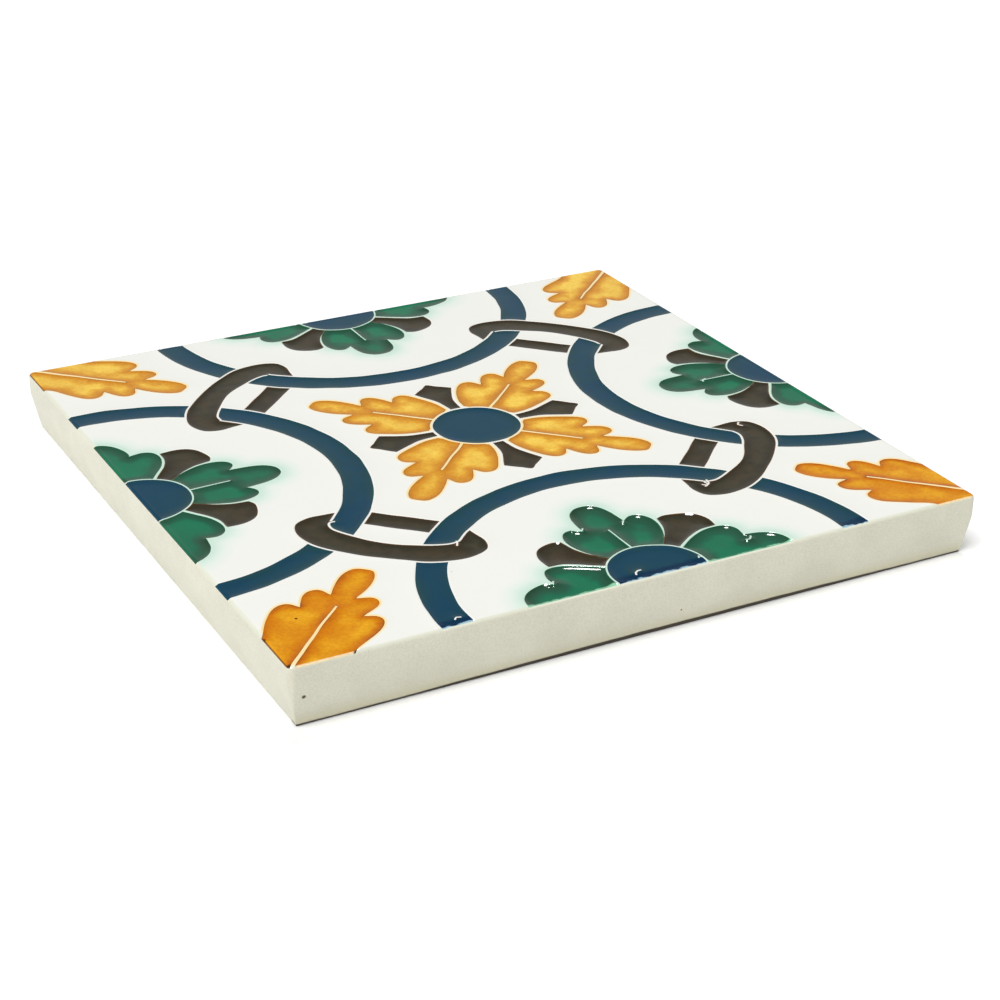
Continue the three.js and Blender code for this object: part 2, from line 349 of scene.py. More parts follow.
def petal(wider):
    lobes = [
        [(x + wider * max(0, x - PETAL_ROOT) / PETAL_LENGTH, y) for x, y in lobe] for lobe in PETAL
    ]
    return spread(lobed(lobes))


def side_leaf(notch, tip, lower, deeper):
    foot, reach = SIDE_LEAF_END[0][0], SIDE_LEAF_END[-1][0]
    top = []
    for x, y in SIDE_LEAF_TOP:
        share = max(0, x - SIDE_LEAF_ROOT) / (foot - SIDE_LEAF_ROOT)
        top.append((x + notch * share, y))
    top[-2:] = [(top[-2][0], top[-2][1] - deeper / 3), (top[-1][0], top[-1][1] - deeper)]
    end = [top[-1]]
    for x, y in SIDE_LEAF_END[1:]:
        share = (x - foot) / (reach - foot)
        end.append((x + notch + (tip - notch) * share, y - lower))
    return spread(lobed([top, end, *SIDE_LEAF_FOOT]))


def stroke(path, width):
    """The outline of a thin line along a path."""
    line = smooth(path) + [Vector(path[-1])]
    sides = [[], []]
    for i, point in enumerate(line):
        along = (line[min(i + 1, len(line) - 1)] - line[max(i - 1, 0)]).normalized()
        across = Vector((-along.y, along.x)) * width / 2
        sides[0].append(point - across)
        sides[1].append(point + across)
    return sides[0] + sides[1][::-1]


def link_outline(shares, half, out, back):
    """A link's outline: its right side, its left one mirrored, and its straight back."""
    side = [(a * half, b * (out if b > 0 else back)) for a, b in shares]
    other = [across_axis(p) for p in reversed(side[:-1])]
    return smooth(side + other) + smooth([other[-1], side[0]])


def drifted(point):
    """Where a point of the pattern lies on the tile, which was pressed a little askew by hand."""
    u, v = point.x / HALF_PATTERN, point.y / HALF_PATTERN
    factors = ((1, 1), (u, 1), (v, 1), (u, u), (u, v), (v, v))
    x, y = [
        sum((share * a * b for share, (a, b) in zip(shares, factors)), place)
        for place, shares in zip(point, DRIFT)
    ]
    wander = noise.noise_vector(Vector((x, y, 4.0)) / WANDER_LENGTH)
    return Vector((x + WANDER * wander.x, y + WANDER * wander.y))


def pattern_blanks():
    """Every closed outline of the pattern as (name, number, points), none cut by another yet."""
    noise.seed_set(WANDER_SEED)
    blanks = []

    def one(name, points, number=0):
        blanks.append((name, number, [drifted(p) for p in anticlockwise(points)]))

    def four(name, points, shift=(0, 0), turn=0):
        for k in range(4):
            one(name, turned(turned(points, turn, shift), 90 * k), k)

    def at_edge(name, k, points):
        x, y = FLOWER_HANDS[k][0]
        one(name, turned(turned(points, 0, (x, y - HALF_PATTERN)), 90 * k), k)

    leaf_scale = LEAF_TIP / LEAF_DRAWN_TIP
    foot = [scaled(lobe, leaf_scale) for lobe in (LEAF_FOOT, LEAF_SIDE_LOBE, LEAF_END_LOBE)]
    corner = [
        scaled(lobe, leaf_scale)
        for lobe in (CORNER_STEM, CORNER_FOOT, LEAF_SIDE_LOBE, LEAF_END_LOBE)
    ]
    sepal = [scaled(lobe, leaf_scale) for lobe in (SEPAL_SIDE, SEPAL_POINT, SEPAL_TIP)]
    leaf_vein = turned(taper(LEAF_VEIN, LEAF_VEIN_END * math.sqrt(2)), -45)
    to_edge = (0, -HALF_PATTERN)
    four("leaf", spread(lobed(mirrored(foot, across_diagonal)), LEAF_SPREAD))
    four("leaf_vein", leaf_vein)
    four("sepal", spread(lobed(mirrored(sepal, across_axis)), LEAF_SPREAD))
    for k, (x, y) in enumerate(CORNER_SHIFTS):
        shift = (x - HALF_PATTERN, y - HALF_PATTERN)
        for name, outline in (
            ("leaf", spread(lobed(mirrored(corner, across_diagonal)), LEAF_SPREAD)),
            ("leaf_vein", leaf_vein),
        ):
            one(name, turned(turned(outline, 0, shift), 90 * k), k)
    one("disc", circle(MIDDLE_RADIUS))
    one("disc_ridge", circle(MIDDLE_RADIUS + MIDDLE_RIDGE))
    for k, (_, length, sides) in enumerate(FLOWER_HANDS):
        at_edge("disc", k, circle(DISC_RADIUS))
        at_edge("disc_ridge", k, circle(DISC_RADIUS + DISC_RIDGE))
        at_edge("flower_leaf", k, flower_leaf(length))
        at_edge("flower_vein", k, taper(VEIN, FLOWER_VEIN_END))
        for (wider, *ends), side in zip(sides, (1, -1)):
            for name, outline in (("petal", petal(wider)), ("side_leaf", side_leaf(*ends))):
                at_edge(name, k, [Vector((side * x, y)) for x, y in outline])
    for name, extra in (("band", 0), ("band_grown", RIDGE)):
        half = BAND_WIDTH / 2 + extra
        four(name, circle(BAND_RADIUS + half), to_edge)
        four(name + "_hole", circle(BAND_RADIUS - half), to_edge)
    outside = link_outline(
        LINK_OUTSIDE, LINK_REACH + LINK_BAR, LINK_BOW + LINK_BAR, LINK_BACK + LINK_BACK_BAR
    )
    inside = link_outline(LINK_INSIDE, LINK_REACH, LINK_BOW, LINK_BACK)
    for name, extra in (("link", LINK_SPREAD), ("link_grown", LINK_SPREAD + RIDGE)):
        four(name, grown(outside, extra), (QUARTER, QUARTER), -45)
        four(name + "_hole", grown(inside, -extra), (QUARTER, QUARTER), -45)
    for k, path in CURLS:
        line = [Vector((x, y - HALF)) for x, y in path]
        blanks.append(("curl", k, anticlockwise(turned(stroke(line, CURL_WIDTH), 90 * k))))
    return blanks


def figure_at(within, outward):
    """The figure that shows inside all the blanks of within, a set of (name, number), or None.
    outward is True on the bowed side of a link, which passes over the bands."""
    names = {name for name, _ in within}

    def ring(name):
        return any((name, k) in within and (name + "_hole", k) not in within for k in range(4))

    if "curl" in names:
        return None
    if "disc" in names:
        return "disc"
    if "disc_ridge" in names:
        return None
    if ring("link") and (outward or not ring("band_grown")):
        return "link"
    if ring("band") and not (outward and ring("link_grown")):
        return "band"
    for figure, gap in (("leaf", "leaf_vein"), ("flower_leaf", "flower_vein")):
        if figure in names:
            return None if gap in names else figure
    return next((name for name in ("sepal", "petal", "side_leaf") if name in names), None)


# The face, triangulated along the outlines


def edge_inset(x, y):
    """How far a point lies in from the tile's outline in plan."""
    middle = HALF - CORNER_ROUND
    px, py = abs(x) - middle, abs(y) - middle
    return CORNER_ROUND - math.hypot(max(px, 0), max(py, 0)) - min(max(px, py), 0)


def rounded_square(inset, step):
    """Points round the tile, in by an inset."""
    middle = HALF - CORNER_ROUND
    radius = CORNER_ROUND - inset
    side = []
    count = round(2 * middle / step)
    for k in range(count):
        side.append((HALF - inset, -middle + 2 * middle * k / count))
    for k in range(CORNER_STEPS):
        turn = math.pi / 2 * k / CORNER_STEPS
        side.append((middle + radius * math.cos(turn), middle + radius * math.sin(turn)))
    return [p for k in range(4) for p in turned(side, 90 * k)]


def plain_triangulation():
    """The flat pattern cut into triangles: (points, triangles, each one's glaze and depth)."""
    blanks = pattern_blanks()
    points, loops, keys = [], [], []
    for name, number, outline in blanks:
        loops.append(list(range(len(points), len(points) + len(outline))))
        points.extend(outline)
        keys.append((name, number))
    made = delaunay_2d_cdt(points, [], loops, 0, CUT_TOLERANCE, True)
    cut, _, triangles, _, _, origins = made
    glazes = []
    for triangle, origin in zip(triangles, origins):
        centre = sum((cut[i] for i in triangle), Vector((0, 0))) / 3 - PATTERN_SHIFT
        outward = abs(centre.x) + abs(centre.y) > HALF_PATTERN
        within = {keys[i] for i in origin}
        figure = figure_at(within, outward)
        glaze, depth = FIGURES.get(figure, GROUND)
        if figure in ("flower_leaf", "petal", "side_leaf"):
            depth *= FLOWER_DEPTHS[min(k for name, k in within if name == figure)]
        glazes.append((glaze, depth))
    return cut, triangles, glazes


def outline_edges(triangles, glazes):
    """Edges with a different glaze on each side, each turned to have the pool on its left."""
    left = {}
    for triangle, glaze in zip(triangles, glazes):
        for i in range(3):
            left[triangle[i], triangle[(i + 1) % 3]] = glaze
    kept = []
    for (a, b), glaze in left.items():
        other = left.get((b, a), glaze)
        if glaze != other and glaze != GROUND:
            kept.append((a, b))
    return kept


def ring_points(cut, edges, tree):
    """Rows of points along both sides of every outline, close together near it."""
    rows = [(d, 1, RING_GAP) for d in POOL_RINGS] + [(d, -1, RING_GAP) for d in BANK_RINGS]
    rows += [(d, side, OUTER_GAP) for d in OUTER_RINGS for side in (1, -1)]
    rows.sort()
    normals = {}
    for a, b in edges:
        along = (cut[b] - cut[a]).normalized()
        across = Vector((-along.y, along.x))
        for i in (a, b):
            normals[i] = normals.get(i, Vector((0, 0))) + across
    made, taken = [], {}
    for distance, side, gap in rows:
        reach = (-1, 0, 1) if distance in OUTER_RINGS else (0,)
        for i, across in normals.items():
            if across.length < SHARPEST:
                continue
            spot = cut[i] + across.normalized() * side * distance
            if edge_inset(*spot) < FACE_EDGE + EDGE_GAP:
                continue
            if tree.find((*spot, 0))[2] < OWN_SHARE * distance:
                continue
            column, line = round(spot.x / gap), round(spot.y / gap)
            cells = [(column + a, line + b) for a in reach for b in reach]
            if any(c in taken and (taken[c] - spot).length < gap for c in cells):
                continue
            taken[column, line] = spot
            made.append(spot)
    return made


def fill_points(tree):
    """Evenly strewn points where no outline is near."""
    made = []
    row = FILL_STEP * math.sqrt(3) / 2
    for j in range(int(2 * HALF / row) + 1):
        for i in range(int(2 * HALF / FILL_STEP) + 1):
            spot = Vector((-HALF + (i + 0.5 * (j % 2)) * FILL_STEP, -HALF + j * row))
            if edge_inset(*spot) > FILL_INSET and tree.find((*spot, 0))[2] > FILL_GAP:
                made.append(spot)
    return made


def rim_points(tree):
    """Points round the rim, closer together towards the edge."""
    made = []
    for inset in RIM_RINGS:
        for spot in rounded_square(inset, RIM_STEP):
            if tree.find((*spot, 0))[2] > RIM_GAP:
                made.append(spot)
    return made


def nearest_tree(cut, edges):
    """Finds the distance to the nearest outline, from points close together along them all."""
    spots = []
    for a, b in edges:
        count = max(1, math.ceil((cut[b] - cut[a]).length / NEAREST_STEP))
        spots += [cut[a].lerp(cut[b], k / count) for k in range(count)]
    tree = kdtree.KDTree(len(spots))
    for i, spot in enumerate(spots):
        tree.insert((*spot, 0), i)
    tree.balance()
    return tree


def face_triangulation():
    """The face in fine triangles that keep to the outlines: (points, triangles, their glazes)."""
    cut, triangles, glazes = plain_triangulation()
    edges = outline_edges(triangles, glazes)
    tree = nearest_tree(cut, edges)
    used = sorted({i for edge in edges for i in edge})
    number = {i: k for k, i in enumerate(used)}
    points = [cut[i] for i in used]
    links = [(number[a], number[b]) for a, b in edges]
    ring = rounded_square(FACE_EDGE, RIM_STEP)
    first = len(points)
    links += [(first + k, first + (k + 1) % len(ring)) for k in range(len(ring))]
    points += ring
    points += ring_points(cut, edges, tree) + fill_points(tree) + rim_points(tree)
    fine, _, faces = delaunay_2d_cdt(points, links, [], 0, FACE_TOLERANCE, False)[:3]
    under = BVHTree.FromPolygons([(*p, 0) for p in cut], triangles)
    kept, kept_glazes = [], []
    for face in faces:
        centre = sum((fine[i] for i in face), Vector((0, 0))) / 3
        if edge_inset(*centre) < FACE_EDGE:
            continue
        found = under.ray_cast(Vector((*centre, 1)), Vector((0, 0, -1)))[2]
        kept.append(face)
        kept_glazes.append(GROUND if found is None else glazes[found])
    return fine, kept, kept_glazes


# The whole tile as one closed mesh, with its face still flat


def side_profile():
    """(height, inset) down the side, from below the rim to the back."""
    rows = []
    for degrees in RIM_TURNS:
        turn = math.radians(degrees)
        height = THICK - FIELD_DROP - RIM_ROUND * (1 - math.sin(turn))
        rows.append((height, RIM_ROUND * (1 - math.cos(turn))))
    slope = BACK_INSET / BAND_FOOT
    rows += [(BAND_FOOT + BAND_MIDDLE, 0), (BAND_FOOT + BAND_EASE, 0)]
    rows.append((BAND_FOOT - BAND_EASE, BAND_EASE * slope))
    rows += [(height, BACK_INSET - slope * height) for height in SIDE_HEIGHTS]
    rows += [(height, BACK_INSET + further) for height, further in FOOT_ROWS]
    return rows


def tile_mesh():
    """The tile as (points, faces, each face's glaze and pool depth, whether each point is on the
    glazed face). The side's rows stand under an evenly spaced choice of that face's edge points."""
    points, faces, glazes = face_triangulation()
    used = sorted({i for face in faces for i in face})
    number = {i: k for k, i in enumerate(used)}
    faces = [tuple(number[i] for i in face) for face in faces]
    flat = [points[i] for i in used]
    directed = {(f[i], f[(i + 1) % 3]) for f in faces for i in range(3)}
    following = {a: b for a, b in directed if (b, a) not in directed}
    loop = [next(iter(following))]
    while following[loop[-1]] != loop[0]:
        loop.append(following[loop[-1]])
    spots = [(p.x, p.y, THICK) for p in flat]
    on_face = [True] * len(spots)
    rows = []
    anchors = [0]
    for k in range(1, len(loop)):
        apart = flat[loop[k]] - flat[loop[anchors[-1]]]
        if apart.length > SIDE_STEP and (flat[loop[k]] - flat[loop[0]]).length > SIDE_STEP:
            anchors.append(k)
    middle = HALF - CORNER_ROUND
    for height, inset in side_profile():
        row = []
        for k in anchors:
            x, y = flat[loop[k]]
            core_x, core_y = max(-middle, min(middle, x)), max(-middle, min(middle, y))
            out = Vector((x - core_x, y - core_y))
            out = out.normalized() * (CORNER_ROUND - inset) if inset < CORNER_ROUND else out * 0
            if inset >= CORNER_ROUND:
                squeeze = (middle - (inset - CORNER_ROUND)) / middle
                core_x, core_y = core_x * squeeze, core_y * squeeze
            row.append(len(spots))
            spots.append((core_x + out.x, core_y + out.y, height))
            on_face.append(False)
        rows.append(row)
    count = len(anchors)
    for k, (start, end) in enumerate(zip(anchors, anchors[1:] + [len(loop)])):
        rim = [loop[j % len(loop)] for j in range(start, end + 1)]
        faces.append((rim[0], rows[0][k], rows[0][(k + 1) % count], *reversed(rim[1:])))
        glazes.append((SIDE_GLAZE, 0.0))
    for r, (upper, lower) in enumerate(zip(rows, rows[1:])):
        bare = r == len(rows) - 2
        for k in range(count):
            nxt = (k + 1) % count
            faces.append((upper[k], lower[k], lower[nxt], upper[nxt]))
            glazes.append((CLAY if bare else SIDE_GLAZE, 0.0))
    faces.append(tuple(reversed(rows[-1])))
    glazes.append((CLAY, 0.0))
    return spots, faces, glazes, on_face


# Node trees


def linear(code):
    """The linear colour of an sRGB hex value such as "2a4a63"."""
    parts = [int(code[i : i + 2], 16) / 255 for i in (0, 2, 4)]
    return [p / 12.92 if p <= 0.04045 else ((p + 0.055) / 1.055) ** 2.4 for p in parts] + [1]


def add(tree, kind, inputs=None, stops=None, **settings):
    """Adds a node with its settings, its inputs as values or links, and its ramp's or curve's
    stops."""
    made = tree.nodes.new(kind)
    for name, value in settings.items():
        setattr(made, name, value)
    for key, value in (inputs or {}).items():
        if isinstance(value, bpy.types.NodeSocket):
            tree.links.new(value, made.inputs[key])
        else:
            made.inputs[key].default_value = value
    if stops and hasattr(made, "color_ramp"):
        elements = made.color_ramp.elements
        while len(elements) < len(stops):
            elements.new(1)
        for element, (place, code) in zip(elements, stops):
            element.position = place
            element.color = linear(code)
    elif stops:
        curve = made.mapping.curves[0]
        while len(curve.points) < len(stops):
            curve.points.new(0.5, 0.5)
        for point, place in zip(curve.points, stops):
            point.location = place
        made.mapping.update()
    return made


def calc(tree, operation, a, b=0.0, c=0.0):
    return add(tree, "ShaderNodeMath", {0: a, 1: b, 2: c}, operation=operation).outputs[0]


def section_stops(section):
    return [(d / SECTION_REACH, 1 - drop / SECTION_DROP) for d, drop in section]


def relief_tree(materials):
    """Raises the ridges and sinks the pools of the flat face, and gives each face its glaze."""
    tree = bpy.data.node_groups.new("raised_relief", "GeometryNodeTree")
    tree.is_modifier = True
    tree.interface.new_socket("Geometry", in_out="INPUT", socket_type="NodeSocketGeometry")
    for name, value in RELIEF_SIZES.items():
        socket = tree.interface.new_socket(name, in_out="INPUT", socket_type="NodeSocketFloat")
        socket.default_value = value
    tree.interface.new_socket("Geometry", in_out="OUTPUT", socket_type="NodeSocketGeometry")
    given = add(tree, "NodeGroupInput").outputs

    def attribute(name, kind="FLOAT"):
        made = add(tree, "GeometryNodeInputNamedAttribute", {"Name": name}, data_type=kind)
        return made.outputs["Attribute"]

    # Each point of the flat face is told how far it lies into a pool, or, as a negative
    # length, how far outside, and how far it is from the nearest green and amber one, in mm.
    geometry = given["Geometry"]
    side_of_line = calc(tree, "MULTIPLY_ADD", attribute("inside"), 2.0, -1.0)
    for name, edges, sign in (
        ("into_pool", "outline", side_of_line),
        ("from_green", "green_outline", 1.0),
        ("from_amber", "amber_outline", 1.0),
    ):
        lines = add(
            tree,
            "GeometryNodeSeparateGeometry",
            {"Geometry": given["Geometry"], "Selection": attribute(edges, "BOOLEAN")},
            domain="EDGE",
        ).outputs[0]
        nearest = add(tree, "GeometryNodeProximity", {0: lines}, target_element="EDGES")
        distance = calc(tree, "DIVIDE", nearest.outputs["Distance"], MM)
        distance = calc(tree, "MULTIPLY", distance, sign)
        geometry = add(
            tree,
            "GeometryNodeStoreNamedAttribute",
            {"Geometry": geometry, "Name": name, "Value": distance},
            data_type="FLOAT",
            domain="POINT",
        ).outputs[0]

    into_pool = attribute("into_pool")
    from_side = attribute("from_side")
    share = calc(tree, "DIVIDE", calc(tree, "ABSOLUTE", into_pool), SECTION_REACH)
    heights = [
        add(tree, "ShaderNodeFloatCurve", {"Value": share}, section_stops(section)).outputs[0]
        for section in (BANK_SECTION, POOL_SECTION)
    ]
    bank, pool = [
        calc(tree, "MULTIPLY", calc(tree, "SUBTRACT", 1.0, height), given["Relief"])
        for height in heights
    ]
    pool = calc(tree, "SUBTRACT", pool, LINE_DROP)
    pool = calc(tree, "MULTIPLY_ADD", pool, attribute("depth"), LINE_DROP)
    drop = add(
        tree, "ShaderNodeMix", {"Factor": attribute("inside"), "A": bank, "B": pool}
    ).outputs[0]
    inland = add(
        tree,
        "ShaderNodeMapRange",
        {"Value": from_side, "From Min": INLAND[0], "From Max": INLAND[1]},
        interpolation_type="SMOOTHSTEP",
    ).outputs[0]
    wave_scale = calc(tree, "DIVIDE", 1 / MM, given["Wave length"])
    position = add(tree, "GeometryNodeInputPosition").outputs[0]
    waves = add(
        tree,
        "ShaderNodeTexNoise",
        {"Vector": position, "Scale": wave_scale, "Detail": 1.0},
    ).outputs[0]
    drop = calc(tree, "MULTIPLY_ADD", waves, given["Waviness"], drop)
    drop = add(
        tree, "ShaderNodeMix", {"Factor": inland, "A": given["Field drop"], "B": drop}
    ).outputs[0]

    # The rim falls away on a quarter circle.
    reach = calc(tree, "SUBTRACT", given["Rim round"], from_side)
    reach = calc(tree, "MAXIMUM", reach, 0.0)
    reach = calc(tree, "MULTIPLY", reach, reach)
    square = calc(tree, "MULTIPLY", given["Rim round"], given["Rim round"])
    left = calc(tree, "SQRT", calc(tree, "SUBTRACT", square, reach))
    drop = calc(tree, "ADD", drop, calc(tree, "SUBTRACT", given["Rim round"], left))
    lowered = calc(tree, "MULTIPLY", drop, -MM)
    offset = add(tree, "ShaderNodeCombineXYZ", {"Z": lowered}).outputs[0]
    geometry = add(
        tree,
        "GeometryNodeSetPosition",
        {"Geometry": geometry, "Selection": attribute("on_face", "BOOLEAN"), "Offset": offset},
    ).outputs[0]
    geometry = add(tree, "GeometryNodeSetShadeSmooth", {"Geometry": geometry}).outputs[0]
    geometry = add(tree, "GeometryNodeRealizeInstances", {"Geometry": geometry}).outputs[0]
    for number, material in enumerate(materials):
        chosen = add(
            tree,
            "FunctionNodeCompare",
            {2: attribute("glaze", "INT"), 3: number},
            data_type="INT",
            operation="EQUAL",
        ).outputs[0]
        geometry = add(
            tree,
            "GeometryNodeSetMaterial",
            {"Geometry": geometry, "Selection": chosen, "Material": material},
        ).outputs[0]
    add(tree, "NodeGroupOutput", {0: geometry})
    return tree


# Glazes and clay

# Roughness of the fired glass of a glaze, and the length and height in mm of its slight waves
FIRED_GLASS = (0.06, 2.5, 0.004)
GLASS_IOR = 1.5

# The colour of each coloured glaze from its outline to POOL_REACH mm inside it
POOL_REACH = 4
COBALT_BODY = [(0.0, "2a4a52"), (0.05, "1d4248"), (0.3, "173f4d"), (0.6, "134052")]
BROWN_BODY = [
    (0.0, "74502a"), (0.05, "342d20"), (0.15, "302d22"), (0.4, "373528"), (0.65, "403a2b"),
]
GREEN_ROOT = [
    (0.0, "2f7054"), (0.04, "1c4834"), (0.2, "234f3b"), (0.45, "215944"), (0.72, "18704f"),
]
# The leaf ends' green, greyer over the middle of the pool: painted reflection of the bright
# backdrop
GREEN_END_WITH_PAINTED_HAZE = [
    (0.0, "2f6048"), (0.04, "22412e"), (0.15, "2a4634"), (0.4, "2a5340"), (0.8, "1f684c"),
]
AMBER_YELLOW = [
    (0.0, "7a5424"), (0.05, "c07a20"), (0.18, "cc8724"), (0.36, "da9c2c"), (0.6, "ebbb42"),
    (0.8, "f2cb52"),
]
AMBER_ORANGE = [
    (0.0, "6c4018"), (0.05, "b4600e"), (0.2, "c9740c"), (0.45, "dc9812"), (0.75, "e4a41e"),
]

# The white against the distance from green glaze, up to HALO_REACH mm
HALO_REACH = 8
HALO_STOPS = [
    (0.0, "c3ddcd"), (0.1, "cae0d2"), (0.2, "d4e3d9"), (0.3, "dce6dd"), (0.42, "e2e7e0"),
    (0.6, "e7e8e2"), (1.0, "e8e8e2"),
]

# Small specks in the glazes, as (x, y, z, radius) in mm
GROUND_SPECKS = [
    (-66.2, -38.5, 12.3, 0.22), (-65.4, -40.1, 12.3, 0.16), (-31.5, -52.2, 12.3, 0.14),
    (38.4, -58.3, 12.3, 0.14), (-18.2, -31.6, 12.3, 0.12),
]
AMBER_SPECKS = [
    (-62.2, -55.1, 12.3, 0.32), (-69.9, -59.3, 12, 0.55), (-57.8, -69.9, 12, 0.6),
    (-69.4, -69.1, 12, 0.5),
]
SIDE_SPECKS = [(-67.3, -69.6, 6.1, 0.42), (5.6, -69.1, 3.6, 0.2), (21.5, -69.8, 6.4, 0.16)]


def surface(name, colour, roughness, bump_length, bump_height):
    """A Principled material whose colour comes from colour(tree, spot), with a fine uneven surface
    whose bumps have the given length and height in mm."""
    material = bpy.data.materials.new(name)
    material.use_nodes = True
    tree = material.node_tree
    tree.nodes.clear()
    spot = add(tree, "ShaderNodeTexCoord").outputs["Object"]
    grain = blotch(tree, spot, bump_length, 3.0)
    uneven = add(
        tree, "ShaderNodeBump", {"Height": grain, "Distance": bump_height * MM, "Strength": 1.0}
    ).outputs[0]
    shader = add(
        tree,
        "ShaderNodeBsdfPrincipled",
        {
            "Base Color": colour(tree, spot),
            "Roughness": roughness,
            "IOR": GLASS_IOR,
            "Normal": uneven,
        },
    ).outputs[0]
    add(tree, "ShaderNodeOutputMaterial", {"Surface": shader})
    return material


def held(tree, name):
    """The value of an attribute that the mesh holds."""
    return add(tree, "ShaderNodeAttribute", attribute_name=name).outputs["Fac"]


def blotch(tree, spot, length, detail=2.0):
    """Soft noise from 0 to 1 with patches of the given length in mm."""
    return add(
        tree,
        "ShaderNodeTexNoise",
        {"Vector": spot, "Scale": 1 / (length * MM), "Detail": detail},
    ).outputs[0]


def eased(tree, value, low, high, to_low=0.0, to_high=1.0):
    """Turns a value from low to high into one from to_low to to_high, softly at both ends."""
    return add(
        tree,
        "ShaderNodeMapRange",
        {"Value": value, "From Min": low, "From Max": high, "To Min": to_low, "To Max": to_high},
        interpolation_type="SMOOTHSTEP",
    ).outputs[0]


def blend(tree, share, first, second, **settings):
    colours = [linear(c) if isinstance(c, str) else c for c in (first, second)]
    return add(
        tree,
        "ShaderNodeMix",
        {0: share, 6: colours[0], 7: colours[1]},
        data_type="RGBA",
        **settings,
    ).outputs[2]


def distance_to(tree, spot, place):
    """How far, in metres, a spot lies from a place given in mm."""
    centre = [v * MM for v in place]
    made = add(tree, "ShaderNodeVectorMath", {0: spot, 1: centre}, operation="DISTANCE")
    return made.outputs["Value"]


def specked(tree, spot, body, specks, code):
    """The colour body with small round specks, each at (x, y, z, radius) in mm."""
    for *place, radius in specks:
        away = distance_to(tree, spot, place)
        share = eased(tree, away, 0.5 * radius * MM, 1.2 * radius * MM)
        body = blend(tree, share, code, body)
    return body


def white_ground(tree, spot):
    """White, minted near the green glaze, creamy beside the amber, and greyed by painted shade over
    the rounded rim at the tile's edge.
    """
    reach = calc(tree, "MULTIPLY_ADD", blotch(tree, spot, 6), 0.24, -0.12)
    reach = calc(tree, "MULTIPLY_ADD", held(tree, "from_green"), 1 / HALO_REACH, reach)
    halo = add(tree, "ShaderNodeValToRGB", {0: reach}, HALO_STOPS).outputs[0]
    creamy = eased(tree, held(tree, "from_amber"), 0.2, 0.6)
    ground = blend(tree, creamy, "f2d9a0", halo)
    # Painted shade: greyer over the rounded rim, where the key light would otherwise catch it
    ground = blend(tree, eased(tree, held(tree, "from_side"), 0.3, 1.0), "d6d7c6", ground)
    return specked(tree, spot, ground, GROUND_SPECKS, "8f8468")


def from_near_side(tree, spot):
    """How far a spot lies in from the side at y = -HALF, in mm."""
    along = add(tree, "ShaderNodeSeparateXYZ", {0: spot}).outputs["Y"]
    return calc(tree, "MULTIPLY_ADD", along, 1 / MM, HALF)


def pooled(stops, patch, uneven_share, stain, edges, thinned="dcdccb"):
    """The colour function of a coloured glaze. stops gives its colour by the distance into its
    pool, which a patchy noise shifts. stain is a second colour that it drifts to, as (colour,
    length in mm, share), edges holds the colours that it takes on near the side at y = -HALF, as
    (full at, gone at, colour), and thinned is the colour to which it breaks on the very edge
    there."""

    def colour(tree, spot):
        uneven = eased(tree, blotch(tree, spot, patch), 0.3, 0.7, -uneven_share, uneven_share)
        depth = held(tree, "into_pool")
        uneven = calc(tree, "MULTIPLY", uneven, depth)
        depth = calc(tree, "MULTIPLY_ADD", depth, 1 / POOL_REACH, uneven)
        body = add(tree, "ShaderNodeValToRGB", {0: depth}, stops).outputs[0]
        code, length, share = stain
        drift = eased(tree, blotch(tree, spot, length, 3.0), 0.4, 0.62, 0.0, share)
        body = blend(tree, drift, body, code)
        from_near = from_near_side(tree, spot)
        ragged = calc(tree, "MULTIPLY_ADD", blotch(tree, spot, 1.8), -2.0, from_near)
        for start, end, code in edges:
            body = blend(tree, eased(tree, ragged, start, end), code, body)
        return blend(tree, eased(tree, from_near, 0.3, 0.55), thinned, body)

    return colour


def green(tree, spot):
    """Emerald round the root of a flower, greyer out in the ends of its leaves, where the grey is
    painted reflection of the bright backdrop in the flat glaze.
    """
    rim = [(-0.2, 0.5, "8ccaa4")]
    root = pooled(GREEN_ROOT, 5, 0.07, ("2a5f49", 11, 0.3), rim)(tree, spot)
    end = pooled(GREEN_END_WITH_PAINTED_HAZE, 5, 0.05, ("1f6048", 9, 0.35), rim)(tree, spot)
    shift = [*(v * MM for v in PATTERN_SHIFT), 0.0]
    place = add(tree, "ShaderNodeVectorMath", {0: spot, 1: shift}, operation="SUBTRACT")
    place = add(tree, "ShaderNodeVectorMath", {0: place.outputs[0]}, operation="ABSOLUTE")
    flowers = ((HALF_PATTERN, 0, THICK), (0, HALF_PATTERN, THICK))
    away = [distance_to(tree, place.outputs[0], flower) for flower in flowers]
    radius = calc(tree, "MINIMUM", *away)
    radius = calc(tree, "MULTIPLY_ADD", blotch(tree, spot, 8), 8 * MM, radius)
    return blend(tree, eased(tree, radius, 20 * MM, 28 * MM), root, end)


def amber(tree, spot):
    """Orange in the leaves of the two near corners, yellower elsewhere."""
    rim = [(-1.25, -1.0, "8a5a26")]
    cream = "f0dcb2"
    yellow = pooled(AMBER_YELLOW, 4, 0.08, ("cf8c20", 9, 0.35), rim, cream)(tree, spot)
    orange = pooled(AMBER_ORANGE, 4, 0.08, ("cf7c08", 7, 0.65), rim, cream)(tree, spot)
    grain = add(
        tree, "ShaderNodeValToRGB", {0: blotch(tree, spot, 0.5, 3.0)},
        [(0.35, "f1ece6"), (0.6, "ffffff")],
    ).outputs[0]
    along = add(tree, "ShaderNodeSeparateXYZ", {0: spot}).outputs["Y"]
    body = blend(tree, eased(tree, along, -45 * MM, -30 * MM), orange, yellow)
    body = blend(tree, 1.0, body, grain, blend_type="MULTIPLY")
    far = eased(tree, from_near_side(tree, spot), 0.7, 1.0)
    burnt = calc(tree, "MULTIPLY", far, eased(tree, held(tree, "from_side"), 0.45, 0.2))
    body = blend(tree, burnt, body, "7a4a22")
    return specked(tree, spot, body, AMBER_SPECKS, "4c2c10")


